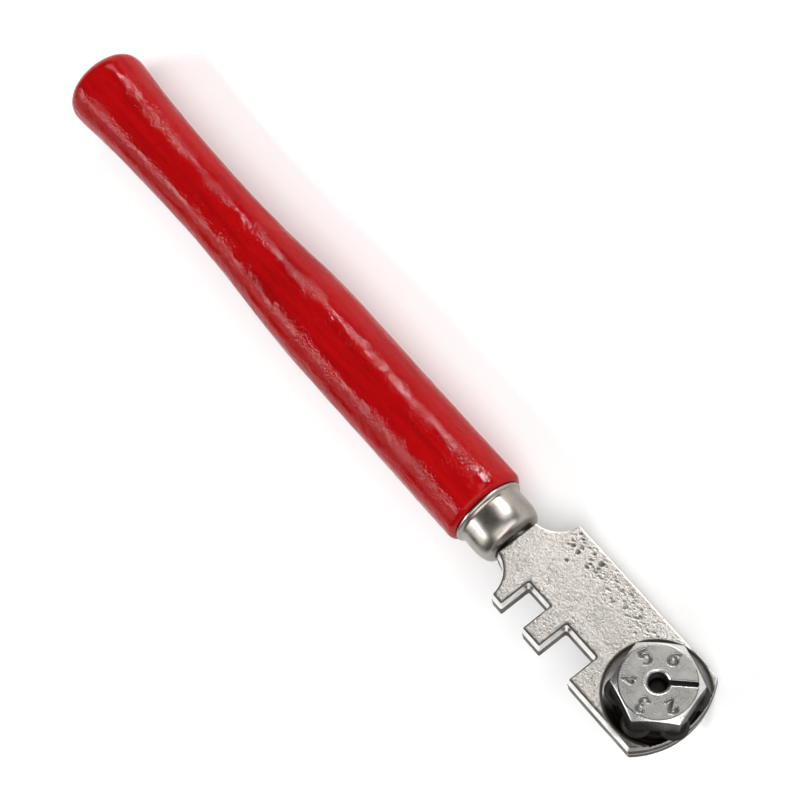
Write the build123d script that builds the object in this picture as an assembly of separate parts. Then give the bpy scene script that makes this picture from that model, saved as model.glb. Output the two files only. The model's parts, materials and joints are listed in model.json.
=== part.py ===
from build123d import *
import os
from math import cos, radians, sin, sqrt

# Six-wheel turret glass cutter, in millimetres.
# Every shape is first drawn with x = 0 just behind the butt of the handle, z = 0 on the tool's axis,
# the cutting tip at +X and the turret facing +Z. lie_down() then rolls it into the pose in which the
# tool lies on a table, with the handle and the straight back edge of the plate touching it.

# ---------------------------------------------------------------- driving dimensions
PLATE_TIP_X = 130.0
BUTT_X = 2.0  # back end of the handle
GRIP_RADIUS = 6.14  # front half of the handle
WAIST_RADIUS = 5.03
BUTT_RADIUS = 6.08
HANDLE_FRONT_X = 89.3  # shoulder of the handle, against the ferrule

PLATE_THICKNESS = 4.4
PLATE_HALF_WIDTH = 7.7  # at the parting line
PLATE_DRAFT = 4.0  # degrees, above and below the parting line
PLATE_EDGE_RADIUS = 0.25
TIP_ARC_RADIUS = 12.1

PIVOT_X = 123.9
POCKET_RADIUS = 7.1
POCKET_FLOOR_Z = -0.6
POCKET_FLOOR_RADIUS = 5.9  # under the wheels the cast wall slopes in to this
TIP_WALL = 0.4  # what the pocket leaves standing of the plate's rounded end
TIP_WALL_TOP_Z = 1.15
SCREW_THREAD_RADIUS = 1.3

WHEEL_COUNT = 6
WHEEL_RADIUS = 2.1
WHEEL_THICKNESS = 1.1
WHEEL_CIRCLE_RADIUS = 4.8  # pivot to wheel axle
AXLE_RADIUS = 0.55
HEX_ACROSS_FLATS = 10.8
HEX_TOP_Z = 6.8
WHEEL_ONE_ANGLE = 45.8  # degrees from +X: wheel 2 stands at the tip, a little off centre

# ---------------------------------------------------------------- worked-out dimensions
HALF_THICKNESS = PLATE_THICKNESS / 2
REST_ROLL = 36.1  # degrees that the lying tool is rolled over, towards +Y
STATION_STEP = 360 / WHEEL_COUNT
TIP_WHEEL_ANGLE = WHEEL_ONE_ANGLE - STATION_STEP
TIP_WHEEL_FRONT_X = PIVOT_X + WHEEL_CIRCLE_RADIUS * cos(radians(TIP_WHEEL_ANGLE)) + WHEEL_RADIUS
MIDDLE_X = (BUTT_X + TIP_WHEEL_FRONT_X) / 2

RUNNING_GAP = 0.05  # between pieces that turn on each other
SEAT_GAP = 0.02  # between pieces pressed or crimped together

FLANGE_BOTTOM_Z = POCKET_FLOOR_Z + RUNNING_GAP
HEX_BOTTOM_Z = 2.75
GROOVE_HEIGHT = WHEEL_THICKNESS + 0.2
FLANGE_TOP_Z = HEX_BOTTOM_Z - GROOVE_HEIGHT
FLANGE_RADIUS = 5.6
CORE_RADIUS = 2.5
WHEEL_MIDDLE_Z = (HEX_BOTTOM_Z + FLANGE_TOP_Z) / 2


def lie_down(shape):
    """Roll a shape onto the plate's back edge and set the handle on the table."""
    return Location((-MIDDLE_X, 0, GRIP_RADIUS)) * Rot(-REST_ROLL, 0, 0) * shape


def station_angle(index):
    """Direction of wheel 1 to 6, in degrees from +X, counted clockwise as seen from above."""
    return WHEEL_ONE_ANGLE - (index - 1) * STATION_STEP


def turned(outline):
    """Revolve a closed outline, drawn in x and radius, about the tool's axis."""
    return revolve(make_face(outline), Axis.X, 360)


def disc(radius, bottom, top, x=PIVOT_X, y=0.0):
    """An upright cylinder from one height to another."""
    return Pos(x, y, bottom) * Cylinder(radius, top - bottom, align=(Align.CENTER, Align.CENTER, Align.MIN))


# ---------------------------------------------------------------- handle and ferrule
SPIGOT_RADIUS = 4.2
SPIGOT_LENGTH = 4.3
TANG_RADIUS = 2.0
TANG_BACK_X = 68.0
FERRULE_FRONT_X = 95.3
FERRULE_LIP_RADIUS = 5.45


def handle():
    """Turned wooden handle: domed flaring butt, slim waist, full front half, spigot under the ferrule."""
    end_round = 0.9
    butt_depth = 3.0
    flare_x = BUTT_X + butt_depth
    grip_x = 55
    shoulder_x = HANDLE_FRONT_X - end_round
    spigot_x = HANDLE_FRONT_X + SPIGOT_LENGTH
    outline = Curve() + [
        Line((BUTT_X, 0), (BUTT_X, 1.8)),
        Spline((BUTT_X, 1.8), (BUTT_X + 0.75, 4.7), (flare_x, BUTT_RADIUS), tangents=((0, 1), (1, 0))),
        Spline(
            (flare_x, BUTT_RADIUS),
            (8.5, 5.82),
            (13, 5.49),
            (20, 5.19),
            (29, WAIST_RADIUS),
            (41, 5.42),
            (49.5, 6.0),
            (grip_x, GRIP_RADIUS),
            tangents=((1, 0), (1, 0)),
        ),
        Line((grip_x, GRIP_RADIUS), (shoulder_x, GRIP_RADIUS)),
        CenterArc((shoulder_x, GRIP_RADIUS - end_round), end_round, 90, -90),
        Line((HANDLE_FRONT_X, GRIP_RADIUS - end_round), (HANDLE_FRONT_X, SPIGOT_RADIUS)),
        Line((HANDLE_FRONT_X, SPIGOT_RADIUS), (spigot_x, SPIGOT_RADIUS)),
        Line((spigot_x, SPIGOT_RADIUS), (spigot_x, 0)),
        Line((spigot_x, 0), (BUTT_X, 0)),
    ]
    bore_length = spigot_x - TANG_BACK_X + 0.5
    bore = Pos(spigot_x - bore_length / 2, 0, 0) * Rot(0, 90, 0) * Cylinder(TANG_RADIUS + SEAT_GAP, bore_length)
    return turned(outline) - bore


def ferrule():
    """Spun metal ferrule: rolled lip against the handle, flared wall, rounded nose round the neck."""
    back = HANDLE_FRONT_X + SEAT_GAP
    lip_round = 0.3
    nose = FERRULE_FRONT_X
    inside_radius = SPIGOT_RADIUS + SEAT_GAP
    inside_front = HANDLE_FRONT_X + SPIGOT_LENGTH + 0.3
    hole_radius = TANG_RADIUS + 0.5
    outline = Curve() + [
        Line((back, inside_radius), (back, FERRULE_LIP_RADIUS - lip_round)),
        ThreePointArc(
            (back, FERRULE_LIP_RADIUS - lip_round),
            (back + lip_round, FERRULE_LIP_RADIUS),
            (back + 2 * lip_round, FERRULE_LIP_RADIUS - lip_round),
        ),
        Spline(
            (back + 2 * lip_round, FERRULE_LIP_RADIUS - lip_round),
            (back + 1.9, 4.92),
            (nose - 1.6, 4.86),
            (nose - 0.35, 4.28),
            (nose, 3.55),
            tangents=((0.5, -0.6), (0, -1)),
        ),
        Line((nose, 3.55), (nose, hole_radius)),
        Line((nose, hole_radius), (inside_front, hole_radius)),
        Line((inside_front, hole_radius), (inside_front, inside_radius)),
        Line((inside_front, inside_radius), (back, inside_radius)),
    ]
    return turned(outline)


# ---------------------------------------------------------------- head
NECK_BACK_X = 95.4
NECK_HALF_WIDTH = 3.4
SHOULDER_X = 99.5
NOTCH_FLOOR_Y = -2.95
NOTCHES = ((101.55, 105.65), (109.25, 114.95))  # x of the two sides of each notch, small one first


def plate_outline():
    """Outline of the plate at the parting line, with both breaking notches."""
    edge = PLATE_HALF_WIDTH
    neck = NECK_HALF_WIDTH
    tip_centre_x = PLATE_TIP_X - TIP_ARC_RADIUS
    corner_x = tip_centre_x + sqrt(TIP_ARC_RADIUS**2 - edge**2)
    arc_middle = (98.2, 4.75)
    sides = [
        Line((NECK_BACK_X, -neck), (NECK_BACK_X, neck)),
        ThreePointArc((NECK_BACK_X, neck), arc_middle, (SHOULDER_X, edge)),
        Line((SHOULDER_X, edge), (corner_x, edge)),
        ThreePointArc((corner_x, edge), (PLATE_TIP_X, 0), (corner_x, -edge)),
    ]
    start = (corner_x, -edge)
    for near, far in reversed(NOTCHES):
        sides += Polyline(start, (far, -edge), (far, NOTCH_FLOOR_Y), (near, NOTCH_FLOOR_Y), (near, -edge)).edges()
        start = (near, -edge)
    sides += [
        Line(start, (SHOULDER_X, -edge)),
        ThreePointArc((SHOULDER_X, -edge), (arc_middle[0], -arc_middle[1]), (NECK_BACK_X, -neck)),
    ]
    return make_face(Curve() + sides)


def plate():
    """Cast plate with draft both ways from its parting line and softened face edges."""
    outline = plate_outline()
    upper = extrude(outline, HALF_THICKNESS, taper=PLATE_DRAFT)
    lower = mirror(upper, Plane.XY)
    body = upper + lower
    for axis_end in (0, -1):
        face = body.faces().sort_by(Axis.Z)[axis_end]
        body = fillet(face.edges(), PLATE_EDGE_RADIUS)
    return body


def turret_pocket():
    """The round hollow for the turret; low down it slopes in, and a thin wall closes it at the tip."""
    open_part = disc(POCKET_RADIUS, TIP_WALL_TOP_Z, HALF_THICKNESS + 1)
    depth = TIP_WALL_TOP_Z - POCKET_FLOOR_Z
    slope = Cone(POCKET_FLOOR_RADIUS, POCKET_RADIUS, depth, align=(Align.CENTER, Align.CENTER, Align.MIN))
    inside_wall = disc(TIP_ARC_RADIUS - TIP_WALL, POCKET_FLOOR_Z, TIP_WALL_TOP_Z, PLATE_TIP_X - TIP_ARC_RADIUS)
    return open_part + (Pos(PIVOT_X, 0, POCKET_FLOOR_Z) * slope & inside_wall)


def head():
    """One casting: plate, neck, tang and the round pocket that the turret sits in."""
    tang_length = NECK_BACK_X + 1 - TANG_BACK_X
    tang = Pos(TANG_BACK_X + tang_length / 2, 0, 0) * Rot(0, 90, 0) * Cylinder(TANG_RADIUS, tang_length)
    screw_hole = disc(SCREW_THREAD_RADIUS + 0.1, -HALF_THICKNESS - 1, POCKET_FLOOR_Z + 1)
    return plate() + tang - turret_pocket() - screw_hole


# ---------------------------------------------------------------- turret
DIGIT_HEIGHT = 1.75
DIGIT_WIDTH = 1.05
DIGIT_STROKE = 0.34
DIGIT_DEPTH = 0.22
DIGIT_CIRCLE_RADIUS = 3.75
FACE_RADIUS = HEX_ACROSS_FLATS / 2 - 0.2
CROWN_SPREAD = 1.35  # how far the crown widens for each millimetre down
MARK_WIDTH = 0.7
MARK_DEPTH = 0.6
BORE_CHAMFER = 0.35


def digit_lines(digit):
    """Centre lines of a stamped digit, upright and centred on the origin."""
    w, h = DIGIT_WIDTH / 2, DIGIT_HEIGHT / 2
    lines = {
        2: [
            ThreePointArc((-w, h - 0.55), (0, h), (w, h - 0.55)),
            Line((w, h - 0.55), (-w, -h)),
            Line((-w, -h), (w, -h)),
        ],
        3: [
            ThreePointArc((-w, h - 0.3), (w - 0.1, h - 0.45), (-0.1, 0.05)),
            ThreePointArc((-0.1, 0.05), (w, -h + 0.45), (-w, -h + 0.25)),
        ],
        4: [
            Line((w, -h + 0.5), (-w, -h + 0.5)),
            Line((-w, -h + 0.5), (w - 0.3, h)),
            Line((w - 0.3, h), (w - 0.3, -h)),
        ],
        5: [
            Line((w, h), (-w + 0.1, h)),
            Line((-w + 0.1, h), (-w, 0.1)),
            ThreePointArc((-w, 0.1), (w, -h + 0.5), (-w, -h + 0.15)),
        ],
        6: [
            ThreePointArc((w - 0.1, h - 0.1), (-w + 0.05, 0.15), (-w, -h + 0.5)),
            CenterArc((0, -h + w), w, 0, 360),
        ],
    }
    return lines[digit]


def digit_cutter(digit):
    """The solid that stamps one digit into the turret's face, its top pointing outwards."""
    strokes = Sketch() + [trace(line, DIGIT_STROKE) for line in digit_lines(digit)]
    angle = station_angle(digit)
    spot = Pos(PIVOT_X, 0, HEX_TOP_Z - DIGIT_DEPTH) * Rot(0, 0, angle) * Pos(DIGIT_CIRCLE_RADIUS, 0, 0)
    return extrude(spot * Rot(0, 0, -90) * strokes, DIGIT_DEPTH + 0.5)


def first_station_mark():
    """The radial slot that marks station 1, from the bore to the edge of the round face."""
    cutter = Box(FACE_RADIUS, MARK_WIDTH, 2 * MARK_DEPTH, align=(Align.MIN, Align.CENTER, Align.CENTER))
    return Pos(PIVOT_X, 0, HEX_TOP_Z) * Rot(0, 0, station_angle(1)) * cutter


def turret():
    """Hexagonal indexing head with a wheel groove and a round flange under it, on a tapped bore."""
    corner_radius = HEX_ACROSS_FLATS / 2 / cos(radians(30))
    hexagon = Rot(0, 0, WHEEL_ONE_ANGLE) * RegularPolygon(corner_radius, 6)
    block = extrude(Pos(PIVOT_X, 0, HEX_BOTTOM_Z) * hexagon, HEX_TOP_Z - HEX_BOTTOM_Z)
    height = HEX_TOP_Z - HEX_BOTTOM_Z
    crown = Pos(PIVOT_X, 0, HEX_BOTTOM_Z) * Cone(
        FACE_RADIUS + height * CROWN_SPREAD, FACE_RADIUS, height, align=(Align.CENTER, Align.CENTER, Align.MIN)
    )
    body = block & crown
    body += disc(CORE_RADIUS, FLANGE_TOP_Z - 0.1, HEX_BOTTOM_Z + 0.1)
    body += disc(FLANGE_RADIUS, FLANGE_BOTTOM_Z, FLANGE_TOP_Z)
    bore_radius = SCREW_THREAD_RADIUS + RUNNING_GAP
    body -= disc(bore_radius, FLANGE_BOTTOM_Z - 1, HEX_TOP_Z + 1)
    body -= Pos(PIVOT_X, 0, HEX_TOP_Z - BORE_CHAMFER) * Cone(
        bore_radius, bore_radius + BORE_CHAMFER, BORE_CHAMFER, align=(Align.CENTER, Align.CENTER, Align.MIN)
    )
    body -= first_station_mark()
    for index in range(1, WHEEL_COUNT + 1):
        x, y = station_centre(index)
        body -= disc(AXLE_RADIUS + SEAT_GAP, FLANGE_BOTTOM_Z - 1, AXLE_TOP_Z + SEAT_GAP, x, y)
        if index > 1:
            body -= digit_cutter(index)
    return body


# ---------------------------------------------------------------- wheels and axles
AXLE_TOP_Z = 4.6
AXLE_BOTTOM_Z = FLANGE_BOTTOM_Z + 0.1


def station_centre(index):
    """Position of a wheel's axle, in the drawing frame."""
    angle = radians(station_angle(index))
    return PIVOT_X + WHEEL_CIRCLE_RADIUS * cos(angle), WHEEL_CIRCLE_RADIUS * sin(angle)


def wheel(index):
    """Cutting wheel: a small disc whose rim comes to an obtuse edge."""
    x, y = station_centre(index)
    half = WHEEL_THICKNESS / 2
    bevel = 0.42
    bore = AXLE_RADIUS + RUNNING_GAP
    outline = Polyline(
        (bore, -half),
        (WHEEL_RADIUS - bevel, -half),
        (WHEEL_RADIUS, 0),
        (WHEEL_RADIUS - bevel, half),
        (bore, half),
        close=True,
    )
    blank = revolve(make_face(Plane.XZ * outline), Axis.Z, 360)
    return Pos(x, y, WHEEL_MIDDLE_Z) * blank


def wheel_axle(index):
    """Plain steel pin, pressed in from below."""
    x, y = station_centre(index)
    return disc(AXLE_RADIUS, AXLE_BOTTOM_Z, AXLE_TOP_Z, x, y)


# ---------------------------------------------------------------- pivot screw and washer
WASHER_THICKNESS = 0.8
WASHER_RADIUS = 2.75
SCREW_HEAD_RADIUS = 2.75
SCREW_HEAD_HEIGHT = 1.5
SCREW_TIP_Z = 4.4
DRIVER_SLOT_WIDTH = 0.8
DRIVER_SLOT_DEPTH = 0.7


def spring_washer():
    """Split spring washer under the screw's head, drawn flat as when it is clamped."""
    top = -HALF_THICKNESS
    ring = disc(WASHER_RADIUS, top - WASHER_THICKNESS, top)
    ring -= disc(SCREW_THREAD_RADIUS + 0.1, top - 2, top + 1)
    split = Rot(0, 25, 0) * Box(0.4, WASHER_RADIUS + 1, 4, align=(Align.CENTER, Align.MIN, Align.CENTER))
    return ring - Pos(PIVOT_X, 0, top - WASHER_THICKNESS / 2) * split


def pivot_screw():
    """Slotted cheese-head screw, from the back through the pocket's floor into the turret."""
    seat = -HALF_THICKNESS - WASHER_THICKNESS
    head_disc = disc(SCREW_HEAD_RADIUS, seat - SCREW_HEAD_HEIGHT, seat)
    head_disc = fillet(head_disc.edges().sort_by(Axis.Z)[0], 0.3)
    shank = disc(SCREW_THREAD_RADIUS, seat - 0.2, SCREW_TIP_Z)
    shank = chamfer(shank.edges().sort_by(Axis.Z)[-1], 0.3)
    slot = Box(3 * SCREW_HEAD_RADIUS, DRIVER_SLOT_WIDTH, 2 * DRIVER_SLOT_DEPTH)
    slot = Pos(PIVOT_X, 0, seat - SCREW_HEAD_HEIGHT) * Rot(0, 0, 30) * slot
    return head_disc + shank - slot


# ---------------------------------------------------------------- export
pieces = {
    "handle": handle(),
    "ferrule": ferrule(),
    "head": head(),
    "turret": turret(),
    "spring_washer": spring_washer(),
    "pivot_screw": pivot_screw(),
}
for number in range(1, WHEEL_COUNT + 1):
    pieces[f"wheel_{number}"] = wheel(number)
    pieces[f"wheel_axle_{number}"] = wheel_axle(number)

lying = {name: lie_down(piece) for name, piece in pieces.items()}
boxes = [piece.bounding_box() for piece in lying.values()]
sideways = (min(box.min.Y for box in boxes) + max(box.max.Y for box in boxes)) / 2

os.makedirs("parts", exist_ok=True)
for name, piece in lying.items():
    export_step(Pos(0, -sideways, 0) * piece, f"parts/{name}.step")
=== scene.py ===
import json
from math import cos, pi, radians, sin

import bmesh
import bpy
import numpy as np
from mathutils import Matrix, Vector, kdtree, noise


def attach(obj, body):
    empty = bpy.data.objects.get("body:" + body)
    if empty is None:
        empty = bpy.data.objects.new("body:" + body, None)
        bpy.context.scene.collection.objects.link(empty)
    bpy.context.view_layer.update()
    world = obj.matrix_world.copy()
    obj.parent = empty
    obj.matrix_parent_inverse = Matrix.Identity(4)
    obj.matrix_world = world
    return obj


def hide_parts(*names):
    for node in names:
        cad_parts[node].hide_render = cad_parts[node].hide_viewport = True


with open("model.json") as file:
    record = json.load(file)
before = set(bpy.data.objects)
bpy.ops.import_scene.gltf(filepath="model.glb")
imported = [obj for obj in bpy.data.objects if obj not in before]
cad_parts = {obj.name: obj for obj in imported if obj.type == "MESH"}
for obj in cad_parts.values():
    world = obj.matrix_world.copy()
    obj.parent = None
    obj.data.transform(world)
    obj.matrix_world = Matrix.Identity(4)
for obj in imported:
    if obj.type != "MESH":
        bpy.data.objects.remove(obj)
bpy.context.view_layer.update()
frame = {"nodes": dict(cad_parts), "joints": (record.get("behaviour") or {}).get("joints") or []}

MM = 0.001
WHEEL_COUNT = 6

# A six-wheel glass cutter. Each piece is drawn in the tool's own frame, in millimetres, from its CAD solid;
# finish_piece() moves it into the row frame and rides it on its body. Materials read the marks, 0 to 1, that
# the pieces store at their vertices: one for dirt and painted shade, one for painted highlights and one for
# pale painted light.


# ---------------------------------------------------------------- the tool's own frame, in millimetres
turret_joint = next(j for j in frame["joints"] if j["name"] == "turret_index")
TURNING_AXIS = Vector(turret_joint["axis"]).normalized()
ALONG = Vector((1, 0, 0))
ACROSS = TURNING_AXIS.cross(ALONG)
TURN = Matrix((ALONG, ACROSS, TURNING_AXIS)).transposed()
PIVOT_X = 123.9  # from the drawing's datum, just behind the butt, to the turret's axis
START = Vector(turret_joint["pos_m"]) - ALONG * PIVOT_X * MM
TOOL = Matrix.Translation(START) @ TURN.to_4x4() @ Matrix.Scale(MM, 4)
TO_TOOL = TOOL.inverted()


def moved(matrix, points):
    """Apply a 4 x 4 matrix to an array of points."""
    m = np.array(matrix)
    return points @ m[:3, :3].T + m[:3, 3]


def cad_points(node):
    """A CAD node's vertices in the tool's frame."""
    mesh = frame["nodes"][node].data
    flat = np.empty(len(mesh.vertices) * 3)
    mesh.vertices.foreach_get("co", flat)
    return moved(TO_TOOL, flat.reshape(-1, 3))


def rise(values, start, width):
    """0 below start, then up to 1 over the width."""
    return np.clip((values - start) / width, 0, 1)


def fall(values, start, width):
    """0 above start, then up to 1 over the width below it."""
    return np.clip((start - values) / width, 0, 1)


def smooth_noise(points, size, seed=0.0, depth=1):
    """Perlin noise, about -1 to 1, at points in millimetres; size is one number or one for each axis."""
    scaled = points / np.array(size) + seed
    if depth == 1:
        return np.array([noise.noise(p) for p in scaled])
    return np.array([noise.fractal(p, 1.0, 2.0, depth) for p in scaled])


def finish_piece(obj, body, nodes, material, crease=None):
    obj.data.transform(TOOL)
    obj.data.materials.clear()
    obj.data.materials.append(material)
    obj.data.shade_smooth()
    if crease:
        obj.data.set_sharp_from_angle(angle=radians(crease))
    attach(obj, body)
    if nodes:
        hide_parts(*nodes)
    return obj


def mesh_object(name, points, faces):
    """A new object with a mesh of its own."""
    mesh = bpy.data.meshes.new(name)
    mesh.from_pydata([tuple(p) for p in points], [], faces)
    mesh.validate()
    mesh.update()
    obj = bpy.data.objects.new(name, mesh)
    bpy.context.collection.objects.link(obj)
    return obj


def lathe(name, profile, segments, centre=None):
    """Turn a profile of (along, radius) points about the tool's axis, or about an upright line at centre.

    The profile runs once round the section. Points on the axis become single vertices.
    """
    points, rings, faces = [], [], []
    for along, radius in profile:
        if radius < 1e-9:
            ring = [len(points)] * segments
            points.append((along, 0, 0) if centre is None else (centre[0], centre[1], along))
        else:
            ring = list(range(len(points), len(points) + segments))
            for k in range(segments):
                turn = 2 * pi * k / segments
                a, b = radius * cos(turn), radius * sin(turn)
                points.append((along, a, b) if centre is None else (centre[0] + a, centre[1] + b, along))
        rings.append(ring)
    closed = profile[0][1] > 1e-9
    pairs = list(zip(rings, rings[1:])) + ([(rings[-1], rings[0])] if closed else [])
    for low, high in pairs:
        for k in range(segments):
            j = (k + 1) % segments
            corner = [low[k], high[k], high[j], low[j]]
            face = [v for i, v in enumerate(corner) if v not in corner[:i]]
            if len(face) > 2:
                faces.append(face)
    obj = mesh_object(name, points, faces)
    face_outwards(obj)
    return obj


def face_outwards(obj):
    bm = bmesh.new()
    bm.from_mesh(obj.data)
    bmesh.ops.recalc_face_normals(bm, faces=bm.faces)
    bm.to_mesh(obj.data)
    bm.free()


def rounded(corners, steps=4):
    """Round the corners of a profile; each corner is (along, radius, rounding)."""
    out = []
    for i, (x, y, size) in enumerate(corners):
        here = Vector((x, y))
        if not size:
            out.append((x, y))
            continue
        before = (Vector(corners[i - 1][:2]) - here).normalized()
        after = (Vector(corners[(i + 1) % len(corners)][:2]) - here).normalized()
        start, end = here + before * size, here + after * size
        for k in range(steps + 1):
            t = k / steps
            p = start * (1 - t) ** 2 + here * 2 * t * (1 - t) + end * t**2
            out.append((p.x, p.y))
    return out


def positions(obj):
    flat = np.empty(len(obj.data.vertices) * 3)
    obj.data.vertices.foreach_get("co", flat)
    return flat.reshape(-1, 3)


def normals(obj):
    flat = np.empty(len(obj.data.vertices) * 3)
    obj.data.vertices.foreach_get("normal", flat)
    return flat.reshape(-1, 3)


def put_positions(obj, points):
    obj.data.vertices.foreach_set("co", points.ravel())
    obj.data.update()


def mark(obj, name, values):
    """Store one number for each vertex, for the material to read."""
    layer = obj.data.attributes.new(name, "FLOAT", "POINT")
    layer.data.foreach_set("value", np.asarray(values, dtype=np.float32))


def cut_off_behind(mesh, x):
    """Drop what lies behind x, and close the cut."""
    bm = bmesh.new()
    bm.from_mesh(mesh)
    bmesh.ops.remove_doubles(bm, verts=bm.verts, dist=1e-4)
    everything = bm.verts[:] + bm.edges[:] + bm.faces[:]
    cut = bmesh.ops.bisect_plane(
        bm, geom=everything, plane_co=(x, 0, 0), plane_no=(-1, 0, 0), clear_outer=True
    )
    rim = [e for e in cut["geom_cut"] if isinstance(e, bmesh.types.BMEdge)]
    bmesh.ops.contextual_create(bm, geom=rim)
    bm.to_mesh(mesh)
    bm.free()


def worn_copy(name, node, voxel, passes, keep_from=None):
    """A CAD node's solid, remeshed in small even faces with its edges softened, in the tool's frame."""
    mesh = frame["nodes"][node].data.copy()
    mesh.name = name
    obj = bpy.data.objects.new(name, mesh)
    bpy.context.collection.objects.link(obj)
    mesh.transform(TO_TOOL)
    if keep_from is not None:
        cut_off_behind(mesh, keep_from)
    remesh = obj.modifiers.new("even", "REMESH")
    remesh.mode = "VOXEL"
    remesh.voxel_size = voxel
    ease = obj.modifiers.new("ease", "SMOOTH")
    ease.factor = 0.5
    ease.iterations = passes
    bpy.context.view_layer.objects.active = obj
    for modifier in ("even", "ease"):
        bpy.ops.object.modifier_apply(modifier=modifier)
    return obj


def upright_extent(points):
    """Centre in plan, bottom and top of a solid that stands upright in the tool's frame."""
    least, most = points.min(axis=0), points.max(axis=0)
    centre = ((least[0] + most[0]) / 2, (least[1] + most[1]) / 2)
    return centre, least[2], most[2]


# ---------------------------------------------------------------- node helpers
class Graph:
    """A short way to write one material's nodes."""

    def __init__(self, name):
        self.material = bpy.data.materials.new(name)
        self.material.use_nodes = True
        self.nodes = self.material.node_tree.nodes
        self.links = self.material.node_tree.links
        self.shader = self.nodes["Principled BSDF"]
        to_tool = self.add("ShaderNodeMapping")
        to_tool.inputs["Scale"].default_value = (1 / MM,) * 3
        to_tool.inputs["Rotation"].default_value = TURN.inverted().to_euler()
        to_tool.inputs["Location"].default_value = TO_TOOL.translation
        self.link(self.add("ShaderNodeTexCoord").outputs["Object"], to_tool.inputs["Vector"])
        self.place = to_tool.outputs["Vector"]  # millimetres, in the tool's frame

    def add(self, kind, **settings):
        node = self.nodes.new(kind)
        for key, value in settings.items():
            setattr(node, key, value)
        return node

    def link(self, source, target):
        self.links.new(source, target)

    def set(self, **sockets):
        for key, value in sockets.items():
            self.shader.inputs[key.replace("_", " ")].default_value = value

    def stretched(self, scale):
        node = self.add("ShaderNodeMapping")
        node.inputs["Scale"].default_value = scale
        self.link(self.place, node.inputs["Vector"])
        return node.outputs["Vector"]

    def noise(self, scale, detail=3.0, rough=0.5, vector=None):
        """Noise at scale features a millimetre."""
        node = self.add("ShaderNodeTexNoise")
        node.inputs["Scale"].default_value = scale
        node.inputs["Detail"].default_value = detail
        node.inputs["Roughness"].default_value = rough
        self.link(vector or self.place, node.inputs["Vector"])
        return node.outputs["Fac"]

    def cells(self, scale):
        node = self.add("ShaderNodeTexVoronoi")
        node.inputs["Scale"].default_value = scale
        self.link(self.place, node.inputs["Vector"])
        return node

    def marked(self, name):
        """The number that mark() stored at each vertex."""
        return self.add("ShaderNodeAttribute", attribute_name=name).outputs["Fac"]

    def fit(self, value, low, high, new_low=0.0, new_high=1.0):
        node = self.add("ShaderNodeMapRange", clamp=True)
        limits = {"From Min": low, "From Max": high, "To Min": new_low, "To Max": new_high}
        for key, number in limits.items():
            node.inputs[key].default_value = number
        self.link(value, node.inputs["Value"])
        return node.outputs["Result"]

    def maths(self, operation, a, b):
        node = self.add("ShaderNodeMath", operation=operation)
        for socket, value in zip(node.inputs, (a, b)):
            if isinstance(value, (int, float)):
                socket.default_value = value
            else:
                self.link(value, socket)
        return node.outputs["Value"]

    def ramp(self, value, stops):
        node = self.add("ShaderNodeValToRGB")
        elements = node.color_ramp.elements
        while len(elements) < len(stops):
            elements.new(0.5)
        for element, (position, colour) in zip(elements, stops):
            element.position = position
            element.color = (*colour, 1)
        self.link(value, node.inputs["Fac"])
        return node.outputs["Color"]

    def blend(self, factor, a, b):
        """Mix from a to b; b is a fixed colour or a socket."""
        node = self.add("ShaderNodeMix", data_type="RGBA")
        self.link(factor, node.inputs["Factor"])
        sockets = [socket for socket in node.inputs if socket.type == "RGBA"]
        for socket, value in zip(sockets, (a, b)):
            if isinstance(value, tuple):
                socket.default_value = (*value, 1)
            else:
                self.link(value, socket)
        return next(socket for socket in node.outputs if socket.type == "RGBA")

    def bump(self, height, distance):
        """Relief whose height, 0 to 1, stands for a distance in metres."""
        node = self.add("ShaderNodeBump")
        node.inputs["Distance"].default_value = distance
        node.inputs["Strength"].default_value = 1.0
        self.link(height, node.inputs["Height"])
        return node.outputs["Normal"]

    def dull(self, dull_amount):
        """Metal where the mark is low; matt where it is high, for dirt, painted shade or painted light."""
        self.link(self.fit(dull_amount, 0.15, 0.8, 1.0, 0.0), self.shader.inputs["Metallic"])
        self.link(self.fit(dull_amount, 0.2, 0.9, 0.5, 0.08), self.shader.inputs["Specular IOR Level"])

    def finish(self, colour, rough=None, normal=None):
        for socket, value in (("Base Color", colour), ("Roughness", rough), ("Normal", normal)):
            if value is not None:
                self.link(value, self.shader.inputs[socket])
        return self.material


# ---------------------------------------------------------------- materials
# dark colours for dirt and for painted shade
GRIME_AND_SHADE = (0.022, 0.016, 0.013)
SOOT_AND_SHADE = (0.012, 0.010, 0.009)


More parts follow.
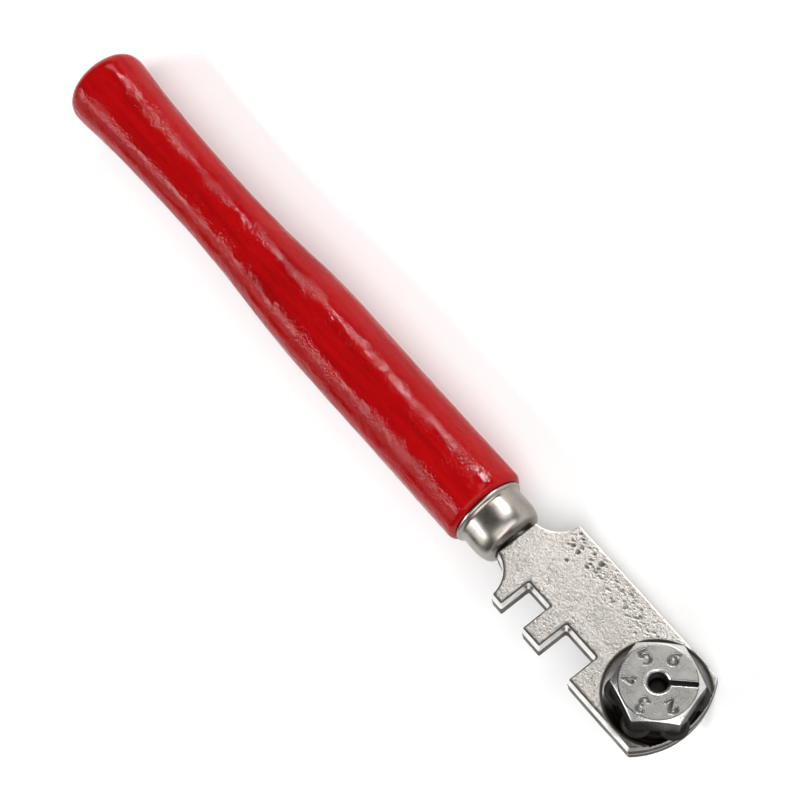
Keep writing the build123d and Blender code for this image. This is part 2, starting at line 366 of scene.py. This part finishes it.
def lacquered_wood():
    """Thick red lacquer brushed over turned wood: runs along the handle, pimples and a wet gloss."""
    deep, fresh, pale = (0.172, 0.0010, 0.0015), (0.268, 0.0016, 0.0024), (0.325, 0.0026, 0.0035)
    relief_depth = 0.085 * MM
    g = Graph("lacquered_wood")
    runs = g.noise(1.0, 4, 0.6, g.stretched((0.06, 0.8, 0.8)))
    patches = g.noise(0.12, 3)
    mottle = g.noise(1.0, 2, 0.5, g.stretched((0.7, 1.3, 1.3)))
    crumbs = g.noise(2.4, 3, 0.5)
    rough_places = g.fit(g.noise(0.22, 3), 0.42, 0.62, 0.2, 1.0)
    colour = g.ramp(runs, ((0.25, deep), (0.5, fresh), (0.85, pale)))
    colour = g.blend(g.fit(patches, 0.4, 0.75, 0.0, 0.5), colour, fresh)
    colour = g.blend(g.fit(mottle, 0.56, 0.75, 0.0, 0.45), colour, deep)
    drops = g.cells(0.55)
    pimples = g.fit(drops.outputs["Distance"], 0.0, 0.32, 1.0, 0.0)
    pimples = g.maths("MULTIPLY", pimples, g.fit(drops.outputs["Color"], 0.55, 0.75))
    skin = g.maths("ADD", g.maths("MULTIPLY", mottle, 0.6), g.maths("MULTIPLY", pimples, 0.3))
    skin = g.maths("ADD", skin, g.maths("MULTIPLY", g.maths("MULTIPLY", crumbs, rough_places), 1.5))
    facing = g.add("ShaderNodeLayerWeight").outputs["Facing"]
    g.link(g.fit(facing, 0.45, 0.85, 0.135, 0.065), g.shader.inputs["Specular IOR Level"])
    g.set(IOR=1.42)
    return g.finish(colour, g.fit(mottle, 0.35, 0.65, 0.035, 0.09), g.bump(skin, relief_depth))


def polished_nickel():
    """Nickel over a spun shell: bright, with faint spinning lines and dull spots."""
    g = Graph("polished_nickel")
    lines = g.noise(1.0, 3, 0.6, g.stretched((9.0, 0.25, 0.25)))
    cloud = g.noise(0.35, 3)
    colour = g.ramp(cloud, ((0.3, (0.27, 0.245, 0.215)), (0.7, (0.36, 0.335, 0.305))))
    rough = g.fit(g.maths("ADD", cloud, g.maths("MULTIPLY", lines, 0.3)), 0.4, 0.95, 0.25, 0.36)
    g.set(Metallic=1.0)
    return g.finish(colour, rough, g.bump(lines, 0.006 * MM))


def cast_nickel():
    """Nickel plate on a rough casting.

    Sandy grain and dark specks, painted highlights along edges, pale matt painted light, and dirt with
    painted shade, each where its vertex mark says.
    """
    hollow, plate, peak = (0.105, 0.096, 0.086), (0.205, 0.194, 0.180), (0.33, 0.318, 0.302)
    tarnish, speck = (0.17, 0.156, 0.14), (0.11, 0.09, 0.075)
    painted_highlight_colour, painted_light_colour = (0.84, 0.82, 0.79), (0.93, 0.90, 0.86)
    relief_depth = 0.06 * MM
    g = Graph("cast_nickel")
    grain = g.noise(3.4, 4, 0.62)
    fine = g.noise(7.0, 2, 0.6)
    cloud = g.noise(0.16, 3)
    dirt_and_shade, edge, painted_light = g.marked("dirt_and_shade"), g.marked("edge"), g.marked("painted_light")
    colour = g.ramp(grain, ((0.28, hollow), (0.46, plate), (0.72, peak)))
    colour = g.blend(g.fit(cloud, 0.35, 0.7, 0.0, 0.3), colour, tarnish)
    colour = g.blend(g.fit(fine, 0.66, 0.74, 0.0, 0.45), colour, speck)
    # painted highlights, then pale painted light, then dirt with painted shade, each from its vertex mark
    colour = g.blend(edge, colour, painted_highlight_colour)
    colour = g.blend(painted_light, colour, painted_light_colour)
    colour = g.blend(g.fit(dirt_and_shade, 0.05, 0.9), colour, GRIME_AND_SHADE)
    rough = g.fit(g.maths("ADD", grain, g.maths("MULTIPLY", dirt_and_shade, 0.5)), 0.3, 1.0, 0.24, 0.48)
    rough = g.maths("SUBTRACT", rough, g.maths("MULTIPLY", edge, 0.12))
    g.dull(g.maths("MAXIMUM", dirt_and_shade, painted_light))
    height = g.maths("ADD", grain, g.maths("MULTIPLY", fine, 0.4))
    height = g.maths("MULTIPLY", height, g.fit(edge, 0.0, 1.0, 1.0, 0.25))
    return g.finish(colour, rough, g.bump(height, relief_depth))


def satin_nickel():
    """Satin plate on the turret: fine specks, painted highlights on its edges and painted shade in its
    hollows and on its sides.
    """
    dim, clear = (0.120, 0.116, 0.109), (0.172, 0.166, 0.157)
    speck, painted_highlight_colour = (0.09, 0.085, 0.08), (0.62, 0.62, 0.61)
    relief_depth = 0.018 * MM
    g = Graph("satin_nickel")
    fine = g.noise(5.0, 3, 0.6)
    cloud = g.noise(0.5, 3)
    dirt_and_shade, edge = g.marked("dirt_and_shade"), g.marked("edge")
    colour = g.ramp(cloud, ((0.3, dim), (0.7, clear)))
    colour = g.blend(g.fit(fine, 0.58, 0.72, 0.0, 0.5), colour, speck)
    # painted highlights, then painted shade, each from its vertex mark
    colour = g.blend(edge, colour, painted_highlight_colour)
    colour = g.blend(g.fit(dirt_and_shade, 0.05, 0.9), colour, SOOT_AND_SHADE)
    rough = g.fit(g.maths("ADD", fine, cloud), 0.7, 1.3, 0.24, 0.34)
    g.dull(dirt_and_shade)
    return g.finish(colour, rough, g.bump(fine, relief_depth))


def plain_steel(name, low, high, roughness, streak):
    """Machined steel between two colours; streak is how many fine marks there are a millimetre, by axis."""
    g = Graph(name)
    marks = g.noise(1.0, 4, 0.6, g.stretched(streak))
    stains = g.noise(1.4, 3)
    colour = g.ramp(marks, ((0.3, low), (0.7, high)))
    colour = g.blend(g.fit(stains, 0.55, 0.8, 0.0, 0.5), colour, tuple(0.45 * c for c in low))
    # painted shade from the vertex mark: dark and matt
    dirt_and_shade = g.marked("dirt_and_shade")
    colour = g.blend(dirt_and_shade, colour, SOOT_AND_SHADE)
    g.dull(dirt_and_shade)
    rough = g.fit(stains, 0.35, 0.75, roughness, roughness + 0.15)
    return g.finish(colour, rough, g.bump(marks, 0.008 * MM))


LACQUER = lacquered_wood()
POLISHED = polished_nickel()
CAST = cast_nickel()
SATIN = satin_nickel()
SCREW_STEEL = plain_steel("plain_steel", (0.30, 0.30, 0.31), (0.46, 0.46, 0.47), 0.28, (6, 6, 1.2))
SPRING_STEEL = plain_steel("spring_steel", (0.14, 0.145, 0.155), (0.26, 0.265, 0.275), 0.36, (4, 4, 4))
WHEEL_STEEL = plain_steel("wheel_steel", (0.07, 0.068, 0.066), (0.16, 0.157, 0.155), 0.26, (9, 9, 2))
AXLE_STEEL = plain_steel("axle_steel", (0.36, 0.36, 0.37), (0.52, 0.52, 0.53), 0.25, (8, 8, 1))


# ---------------------------------------------------------------- handle
HANDLE_SEGMENTS = 176
HANDLE_STEP = 0.32  # between the rings of the mesh
HANDLE_END_ROUND = 0.9
BUTT_DOME = 3.0  # how far the closely spaced rings of the butt reach
TANG_HOLE = 2.2  # no point of the outline lies this near the axis
LACQUER_DROPS = 90


def handle_outline():
    """The handle's section from the CAD solid, with its shoulder's place and its spigot's radius."""
    points = cad_points("handle")
    radius = np.hypot(points[:, 1], points[:, 2])
    butt, front = points[:, 0].min(), points[:, 0].max()
    grip = radius.max()
    shoulder = points[radius > grip - HANDLE_END_ROUND - 0.01][:, 0].max()
    bend = shoulder - HANDLE_END_ROUND
    outer = (points[:, 0] < bend + 0.01) & ((radius > TANG_HOLE) | (points[:, 0] < butt + BUTT_DOME))
    xs = np.unique(points[outer][:, 0].round(3))
    rs = np.array([radius[outer][np.abs(points[outer][:, 0] - x) < 0.002].max() for x in xs])
    dome = butt + BUTT_DOME * np.linspace(0, 1, 18) ** 2
    stations = np.concatenate([dome, np.arange(butt + BUTT_DOME + HANDLE_STEP, bend, HANDLE_STEP)])
    drawn = np.interp(stations, xs, rs)
    eased = np.convolve(np.pad(drawn, 4, mode="edge"), np.ones(9) / 9, mode="valid")
    past_dome = rise(stations, butt + 5, 4)
    outline = drawn * (1 - past_dome) + eased * past_dome
    profile = [(butt, 0.0), (butt, rs[0] * 0.5), (butt, rs[0] * 0.85)] + list(zip(stations, outline))
    for k in range(1, 7):
        a = pi / 2 * k / 6
        profile.append((bend + HANDLE_END_ROUND * sin(a), grip - HANDLE_END_ROUND * (1 - cos(a))))
    spigot = radius[points[:, 0] > front - 0.01].max()
    profile += [(shoulder, spigot + 0.25), (shoulder, spigot), (front, spigot), (front, 0.0)]
    return profile, shoulder, spigot


def lacquer_thickness(p, r, shoulder):
    """Lumps, ripples, runs and drops of thick lacquer, in millimetres, at points p of radius r."""
    round_y, round_z = p[:, 1] / r, p[:, 2] / r
    angle = np.arctan2(p[:, 2], p[:, 1])
    lumps = 0.07 * smooth_noise(np.column_stack([p[:, 0] / 16, round_y * 1.7, round_z * 1.7]), 1, 3.1, 2)
    ripples = 0.035 * smooth_noise(p, (4.0, 2.2, 2.2), 7.7)
    runs = 0.010 * smooth_noise(np.column_stack([p[:, 0] / 22, round_y * 6, round_z * 6]), 1, 1.3)
    rng = np.random.default_rng(12)
    drops = np.zeros(len(p))
    for _ in range(LACQUER_DROPS):
        x, a = rng.uniform(2, shoulder - 2), rng.uniform(-pi, pi)
        size, height = rng.uniform(0.35, 0.9), rng.uniform(0.02, 0.055)
        turn = (angle - a + pi) % (2 * pi) - pi
        away = np.hypot((p[:, 0] - x) / rng.uniform(1.0, 2.6), turn * r)
        drops = np.maximum(drops, height * np.clip(1 - (away / size) ** 2, 0, 1) ** 2)
    return lumps + ripples + runs + drops - 0.03


def swell(obj, p, r, amount):
    """Move points outwards from the tool's axis."""
    p[:, 1] += amount * p[:, 1] / r
    p[:, 2] += amount * p[:, 2] / r
    put_positions(obj, p)


def make_handle():
    """The turned handle with the unevenness of thick lacquer."""
    profile, shoulder, spigot = handle_outline()
    obj = lathe("handle_lacquered", profile, HANDLE_SEGMENTS)
    p = positions(obj)
    r = np.maximum(np.hypot(p[:, 1], p[:, 2]), 1e-6)
    lacquered = rise(r, spigot + 0.2, 1.0) * (p[:, 0] < shoulder - 0.02)
    swell(obj, p, r, lacquer_thickness(p, r, shoulder) * lacquered)
    return finish_piece(obj, "tool", ["handle"], LACQUER)


# ---------------------------------------------------------------- ferrule
FERRULE_ROLL = 0.3  # radius of the rolled lip
FERRULE_WALL = (  # distance from the back, radius
    (0.72, 5.00),
    (0.95, 4.90),
    (1.4, 4.90),
    (2.2, 4.94),
    (3.2, 4.95),
    (4.2, 4.87),
    (4.9, 4.68),
    (5.4, 4.42),
)
FERRULE_NOSE = ((0.40, 4.13), (0.18, 3.78), (0.05, 3.35), (0.0, 2.9))  # distance from the nose, radius
NOSE_RETURN = 1.4  # how deep the hole round the neck goes


def make_ferrule():
    """Spun ferrule with a rolled lip, a waisted wall and a rounded nose."""
    points = cad_points("ferrule")
    radius = np.hypot(points[:, 1], points[:, 2])
    back, nose = points[:, 0].min(), points[:, 0].max()
    lip = radius.max()
    bore = radius[points[:, 0] < back + 0.01].min()
    hole = radius.min() - 0.4  # closer round the neck than the drawing's clearance
    profile = [(back, bore)]
    for k in range(9):
        a = pi * (1 - k / 8)
        profile.append((back + FERRULE_ROLL * (1 + cos(a)), lip - FERRULE_ROLL * (1 - sin(a))))
    profile += [(back + x, r) for x, r in FERRULE_WALL]
    profile += [(nose - x, r) for x, r in FERRULE_NOSE]
    profile += [(nose, hole + 0.25), (nose - 0.1, hole + 0.05), (nose - 0.35, hole)]
    profile += [(nose - NOSE_RETURN, hole), (nose - NOSE_RETURN, bore)]
    obj = lathe("ferrule_shell", profile, 128)
    p = positions(obj)
    r = np.hypot(p[:, 1], p[:, 2])
    dents = 0.025 * smooth_noise(p, (3.0, 3.0, 3.0), 5.5) * (r > bore + 0.3)
    swell(obj, p, r, dents)
    smoother = obj.modifiers.new("rounder", "SUBSURF")
    smoother.levels = smoother.render_levels = 1
    return finish_piece(obj, "tool", ["ferrule"], POLISHED)


# ---------------------------------------------------------------- head
HEAD_FROM_X = 90.5  # the tang behind this is hidden in the handle
NECK_END_X = 95.3
POCKET_RADIUS = 7.3
POCKET_FLOOR = 5.95
TIP_ARC_X = 117.9  # centre of the plate's rounded end
TIP_ARC_RADIUS = 12.1
TIP_CORNER_X = 126.9
PITS = (  # x, y, radius, depth: casting flaws near the plate's back edge
    (101.2, 4.9, 0.30, 0.16),
    (102.4, 4.8, 0.34, 0.20),
    (102.3, 2.9, 0.26, 0.12),
    (104.7, 4.3, 0.28, 0.14),
    (105.7, 6.1, 0.42, 0.22),
    (105.9, 5.3, 0.26, 0.14),
)


def casting_flaws():
    """Pits and scratches as (x, y, short radius, long radius, depth, slant)."""
    rng = np.random.default_rng(5)
    flaws = [(x, y, size, size, depth, 0.0) for x, y, size, depth in PITS]
    for _ in range(110):  # a drift of small ones along the back edge
        x = rng.uniform(99.5, 118.5)
        y = min(7.2, 6.3 - 0.13 * (x - 101) + rng.normal(0, 1.0))
        size = rng.uniform(0.08, 0.20)
        long = size * rng.uniform(1.0, 2.8)
        flaws.append((x, y, size, long, rng.uniform(0.03, 0.09), rng.uniform(0.3, 1.2)))
    for _ in range(40):  # a few anywhere
        size = rng.uniform(0.08, 0.15)
        x, y = rng.uniform(97, 129), rng.uniform(-7, 7)
        flaws.append((x, y, size, size * 1.3, rng.uniform(0.02, 0.06), 0.5))
    return flaws


def sink_flaws(p, n, top, shift, dirt_and_shade):
    """Press the flaws into both faces of the plate, and darken them."""
    flaws = casting_flaws()
    for side in (1, -1):
        face = (n[:, 2] * side > 0.8) & (np.abs(p[:, 2] * side - top) < 0.15)
        spot = p[face]
        for x, y, short, long, depth, slant in flaws:
            y = y if side > 0 else -0.6 * y
            dx, dy = spot[:, 0] - x, spot[:, 1] - y
            u, v = dx * cos(slant) + dy * sin(slant), -dx * sin(slant) + dy * cos(slant)
            hollow = np.clip(1 - (u / long) ** 2 - (v / short) ** 2, 0, 1)
            shift[face] -= depth * hollow
            dirt_and_shade[face] = np.maximum(dirt_and_shade[face], np.sqrt(hollow) * min(0.6, depth * 4.5))


def darkening_near_edges(points, walls):
    """A darkening near the plate's edges, fading over about a millimetre and a half."""
    walls = walls[::6]
    tree = kdtree.KDTree(len(walls))
    for k, wall in enumerate(walls):
        tree.insert(wall, k)
    tree.balance()
    away = np.array([tree.find(point)[2] for point in points])
    patches = 0.6 + 0.6 * smooth_noise(points, 1.1, 8.0, 2)
    return 0.24 * fall(away, 1.6, 1.6) * np.clip(patches, 0, 1)


def make_head():
    """The cast plate: grainy faces, softened edges, flaws, painted shade and painted highlights."""
    obj = worn_copy("head_casting", "head", 0.12, 9, keep_from=HEAD_FROM_X)
    p, n = positions(obj), normals(obj)
    x, z = p[:, 0], p[:, 2]
    upright = np.abs(n[:, 2])
    reach = np.hypot(x - PIVOT_X, p[:, 1])
    tip_reach = np.hypot(x - TIP_ARC_X, p[:, 1])
    top = z.max()
    grain = 0.012 * smooth_noise(p, 0.36, 2.0) + 0.008 * smooth_noise(p, 1.3, 9.0)
    shift = grain + 0.03 * smooth_noise(p, (7, 5, 5), 4.0)
    dirt_and_shade = np.zeros(len(p))
    sink_flaws(p, n, top, shift, dirt_and_shade)

    # outer walls: painted highlight on the upper half, painted shade on the lower half; round the tip
    # painted shade, with one stripe left clear
    patchy_shade = 0.86 + 0.14 * smooth_noise(p, 1.6, 5.0)
    outside = rise(reach, POCKET_RADIUS + 0.2, 0.2)
    end = rise(x, TIP_CORNER_X, 0.3) * (tip_reach > TIP_ARC_RADIUS - 0.6)
    wall = fall(upright, 0.75, 0.15) * outside
    edge = wall * rise(z, 0.1, 0.3) * fall(z, top - 0.12, 0.2) * (1 - end)
    dirt_and_shade = np.maximum(dirt_and_shade, 0.9 * patchy_shade * wall * fall(z, 0.35, 0.25) * (1 - end))
    stripe = np.clip(np.abs(z + 0.3) / 0.2 - 0.4, 0, 1) * fall(z, 0.95, 0.2)
    tip_shade = np.minimum(1, 1.12 * patchy_shade) * stripe * end
    dirt_and_shade = np.maximum(dirt_and_shade, tip_shade * (tip_reach > TIP_ARC_RADIUS - 0.25))

    # the line where face and wall meet: a painted dark reflection, and along the back edge a pale painted
    # highlight instead
    line = rise(upright, 0.35, 0.2) * fall(upright, 0.99, 0.05) * outside
    dirt_and_shade = np.maximum(dirt_and_shade, 0.95 * patchy_shade * line * (1 - rise(n[:, 1], 0.0, 0.2)))
    back_edge = line * rise(n[:, 1], 0.0, 0.3)

    # the pocket: painted shade on its floor and near side, pale painted light on its far side, a ring of
    # painted shade round its mouth
    inside = (reach < POCKET_RADIUS) & (tip_reach < TIP_ARC_RADIUS - 0.35) & (z < top - 0.25) & (z > -0.75)
    pocket_floor = inside * fall(reach, POCKET_FLOOR, 0.2)
    near_side = inside * rise(x - PIVOT_X - 1.1 * p[:, 1], 0.5, 3)
    dirt_and_shade = np.maximum(dirt_and_shade, np.maximum(pocket_floor, 0.9 * near_side))
    painted_light = np.maximum(inside * (1 - pocket_floor) * (1 - near_side), 0.7 * back_edge)
    ring = np.clip(1.6 - np.abs(reach - POCKET_RADIUS) / 0.16, 0, 1) * (z > top - 0.4)
    dirt_and_shade = np.maximum(dirt_and_shade, 0.9 * ring)

    # painted shade on the neck, next to the ferrule's nose
    neck = fall(x, NECK_END_X + 0.3, 0.3)
    dirt_and_shade = np.maximum(dirt_and_shade, 0.3 * neck)
    # darker near the plate's edges
    clean = dirt_and_shade < 0.2
    walls = p[(upright < 0.3) & (reach > POCKET_RADIUS)]
    dirt_and_shade[clean] = np.maximum(dirt_and_shade[clean], darkening_near_edges(p[clean], walls))
    mark(obj, "painted_light", painted_light)
    mark(obj, "edge", edge * (1 - neck))
    mark(obj, "dirt_and_shade", dirt_and_shade)
    put_positions(obj, p + n * shift[:, None])
    return finish_piece(obj, "tool", ["head"], CAST)


# ---------------------------------------------------------------- turret and the small parts
SLOT = radians(45.8)  # direction of the slot that marks station 1
FACE_EDGE = 5.2  # just past the edge of the turret's round face
BORE_EDGE = 1.62  # outer edge of the bore's chamfer


def make_turret():
    """The hexagon: clean face, painted highlights on the crown, bore chamfer and digits' edges, painted
    shade in the slot, on the sides, low down and in the bore, and darker digits.
    """
    obj = worn_copy("turret_hexagon", "turret", 0.075, 2)
    p, n = positions(obj), normals(obj)
    z, facing = p[:, 2], n[:, 2]
    top = z.max()
    dx, dy = p[:, 0] - PIVOT_X, p[:, 1]
    reach = np.hypot(dx, dy)
    along_slot, across_slot = dx * cos(SLOT) + dy * sin(SLOT), dy * cos(SLOT) - dx * sin(SLOT)
    in_slot = (along_slot > 0) & (np.abs(across_slot) < 0.5) & (reach < FACE_EDGE)
    sunk = fall(z, top - 0.06, 0.14) * (facing > 0.3) * (z > top - 0.8) * ((reach < 5.0) | in_slot)
    sides = fall(np.abs(facing), 0.45, 0.2) * (reach > 4.4)
    low = fall(z, top - 3.3, 0.6)
    bore = (reach < 1.45) * fall(z, top - 0.2, 0.15)
    # painted shade in the slot, on the hexagon's sides, below it and in the bore; the sunk digits are darker
    # too
    mark(obj, "dirt_and_shade", np.maximum.reduce([np.where(in_slot, 0.95, 0.42) * sunk, 0.85 * sides, low, bore]))
    # painted highlights on the crown's chamfers, round the bore's chamfer and along the digits' edges
    crown = rise(facing, 0.4, 0.2) * fall(facing, 0.95, 0.1) * (reach > 4.9)
    rim = np.clip(1.4 - np.abs(reach - BORE_EDGE) / 0.2, 0, 1) * (facing > 0.3)
    lips = fall(facing, 0.97, 0.2) * (facing > 0.3) * (z > top - 0.1) * (reach < 5.0)
    mark(obj, "edge", np.maximum.reduce([0.8 * crown, 0.7 * rim, 0.6 * lips]))
    grain = 0.004 * smooth_noise(p, 0.5, 2.0)
    put_positions(obj, p + n * grain[:, None])
    return finish_piece(obj, "turret", ["turret"], SATIN)


THREAD_WALL, THREAD_DEPTH, THREAD_PITCH = 1.38, 0.15, 0.5
THREAD_LOW, THREAD_HIGH = 4.75, 6.3


def make_thread():
    """The turns of thread that show in the turret's hole, above the end of the screw."""
    steps = 40
    count = int((THREAD_HIGH - THREAD_LOW) / THREAD_PITCH * steps)
    points, faces = [], []
    for k in range(count + 1):
        a = 2 * pi * k / steps
        fade = min(1.0, k / 10, (count - k) / 10)
        z = THREAD_LOW + THREAD_PITCH * k / steps
        for lift, inward in ((-0.2, 0.0), (0.0, THREAD_DEPTH * fade), (0.2, 0.0)):
            r = THREAD_WALL - inward
            points.append((PIVOT_X + r * cos(a), r * sin(a), z + lift * THREAD_PITCH))
    for k in range(count):
        i, j = 3 * k, 3 * (k + 1)
        faces += [(i, j, j + 1, i + 1), (i + 1, j + 1, j + 2, i + 2), (i, i + 2, j + 2, j)]
    faces += [(0, 1, 2), (3 * count + 2, 3 * count + 1, 3 * count)]
    obj = mesh_object("turret_thread", points, faces)
    face_outwards(obj)
    # painted shade: the thread lies deep in the turret's hole
    mark(obj, "dirt_and_shade", np.full(len(points), 0.97))
    return finish_piece(obj, "turret", [], SATIN, crease=40)


def make_wheel(number):
    """A ground cutting wheel, thin at the rim."""
    node = f"wheel_{number}"
    points = cad_points(node)
    centre, low, high = upright_extent(points)
    reach = np.hypot(points[:, 0] - centre[0], points[:, 1] - centre[1])
    rim, bore = reach.max(), reach.min()
    land = reach[points[:, 2] > high - 0.01].max()
    corners = [(low, bore, 0.05), (low, land, 0.04), ((low + high) / 2, rim, 0.02)]
    corners += [(high, land, 0.04), (high, bore, 0.05)]
    obj = lathe(f"cutting_{node}", rounded(corners), 96, centre)
    # painted shade: the wheels sit in the dark under the hexagon
    mark(obj, "dirt_and_shade", np.full(len(obj.data.vertices), 0.93))
    return finish_piece(obj, node, [node], WHEEL_STEEL, crease=30)


def make_axle(number):
    """A drawn pin with rounded ends."""
    node = f"wheel_axle_{number}"
    points = cad_points(node)
    centre, low, high = upright_extent(points)
    size = (points[:, 0].max() - points[:, 0].min()) / 2
    side = rounded([(low, 0, 0), (low, size, 0.12), (high, size, 0.12), (high, 0, 0)])
    obj = lathe(f"pressed_{node}", side, 48, centre)
    return finish_piece(obj, "turret", [node], AXLE_STEEL, crease=30)


def make_screw():
    """The slotted screw; its end in the turret's hole is painted dark as shade."""
    obj = worn_copy("screw_slotted", "pivot_screw", 0.055, 2)
    height = positions(obj)[:, 2]
    # painted shade on the screw's end, down in the hole
    mark(obj, "dirt_and_shade", np.clip((height - 2.0) / 1.0, 0, 1))
    return finish_piece(obj, "screw", ["pivot_screw"], SCREW_STEEL)


def make_washer():
    """The split spring washer under the screw's head."""
    obj = worn_copy("washer_split", "spring_washer", 0.045, 3)
    return finish_piece(obj, "washer", ["spring_washer"], SPRING_STEEL)


make_handle()
make_ferrule()
make_head()
make_turret()
make_thread()
for number in range(1, WHEEL_COUNT + 1):
    make_wheel(number)
    make_axle(number)
make_screw()
make_washer()


# ---------------------------------------------------------------- floor, light and camera
FLOOR_HALF = 1.6
SKY = 0.12  # the world's strength


def floor_material():
    g = Graph("pale_floor")
    paper = g.noise(0.02, 3)
    colour = g.ramp(paper, ((0.3, (0.88, 0.88, 0.88)), (0.7, (0.90, 0.90, 0.90))))
    g.set(Roughness=0.9, Specular_IOR_Level=0.1)
    return g.finish(colour)


def make_floor():
    signs = ((-1, -1), (1, -1), (1, 1), (-1, 1))
    floor = mesh_object("floor", [(FLOOR_HALF * a, FLOOR_HALF * b, 0) for a, b in signs], [(0, 1, 2, 3)])
    floor.data.materials.append(floor_material())


def make_world():
    world = bpy.data.worlds.new("studio")
    world.use_nodes = True
    background = world.node_tree.nodes["Background"]
    background.inputs["Color"].default_value = (1.0, 1.0, 1.0, 1)
    background.inputs["Strength"].default_value = SKY
    bpy.context.scene.world = world
    bpy.context.scene.view_settings.view_transform = "Standard"


AIM = TOOL @ Vector((70, 0, 0))
CAMERA_FROM = Vector((217.33, -97.95, 397.07))  # millimetres, in the tool's frame
CAMERA_AIM = Vector((-0.34008, 0.22791, -0.91236))
CAMERA_ROLL = 5.70
LENS = 144
CAMERA_SIDE = TOOL @ CAMERA_FROM - AIM
CAMERA_SIDE = (CAMERA_SIDE - ALONG * CAMERA_SIDE.x).normalized()  # square to the handle
LEFT_SIDE = ALONG.cross(CAMERA_SIDE)


def make_camera():
    data = bpy.data.cameras.new("camera")
    data.sensor_width = 36
    data.lens = LENS
    data.clip_start, data.clip_end = 0.01, 10
    camera = bpy.data.objects.new("camera", data)
    bpy.context.collection.objects.link(camera)
    back = -CAMERA_AIM.normalized()
    level = Vector((0, 0, 1)).cross(back).normalized()
    upright = back.cross(level)
    roll = radians(CAMERA_ROLL)
    up = upright * cos(roll) + level * sin(roll)
    right = up.cross(back)
    turn = TURN @ Matrix((right, up, back)).transposed()
    camera.matrix_world = Matrix.Translation(TOOL @ CAMERA_FROM) @ turn.to_4x4()
    bpy.context.scene.camera = camera


def softbox(name, at, size, radiance):
    """A rectangular light at a place in metres in the row frame, facing the tool, its first side along X."""
    data = bpy.data.lights.new(name, "AREA")
    data.shape = "RECTANGLE"
    data.size, data.size_y = size
    data.energy = radiance * pi * size[0] * size[1]
    lamp = bpy.data.objects.new(name, data)
    bpy.context.collection.objects.link(lamp)
    back = (at - AIM).normalized()
    along = (ALONG - back * back.dot(ALONG)).normalized()
    turn = Matrix((along, back.cross(along), back)).transposed()
    lamp.matrix_world = Matrix.Translation(at) @ turn.to_4x4()


def beside(degrees, shift, distance):
    """A place round the tool: degrees from the camera's side, towards -Y; shift along X from the aim."""
    towards = CAMERA_SIDE * cos(radians(degrees)) + LEFT_SIDE * sin(radians(degrees))
    return AIM + towards * distance + ALONG * shift


LIGHTS = (  # name, degrees, shift, distance, size, radiance: each is mirrored in the lacquer or the nickel
    ("strip_front", -47, -0.192, 0.60, (0.085, 0.12), 78.0),
    ("strip_middle", -47, -0.262, 0.60, (0.05, 0.10), 7.0),
    ("strip_butt", -47, -0.378, 0.60, (0.030, 0.10), 56.0),
    ("wide_left", 76, -0.25, 0.60, (0.60, 0.36), 2.0),
    ("core_left", 62, -0.25, 0.58, (0.50, 0.08), 17.0),
    ("head_panel", -28, -0.08, 0.60, (0.13, 0.22), 3.9),
)
TIP_LIGHTS = (  # name, place from the aim, side, radiance
    ("tip_high", (0.55, 0.10, 0.85), 0.9, 2.0),
    ("tip_end", (0.75, 0.0, 0.45), 0.55, 2.5),
    ("tip_side", (0.60, 0.60, 0.45), 0.6, 3.0),
)

make_floor()
make_world()
make_camera()
for name, degrees, shift, distance, size, radiance in LIGHTS:
    softbox(name, beside(degrees, shift, distance), size, radiance)
for name, offset, side, radiance in TIP_LIGHTS:
    softbox(name, AIM + Vector(offset), (side, side), radiance)
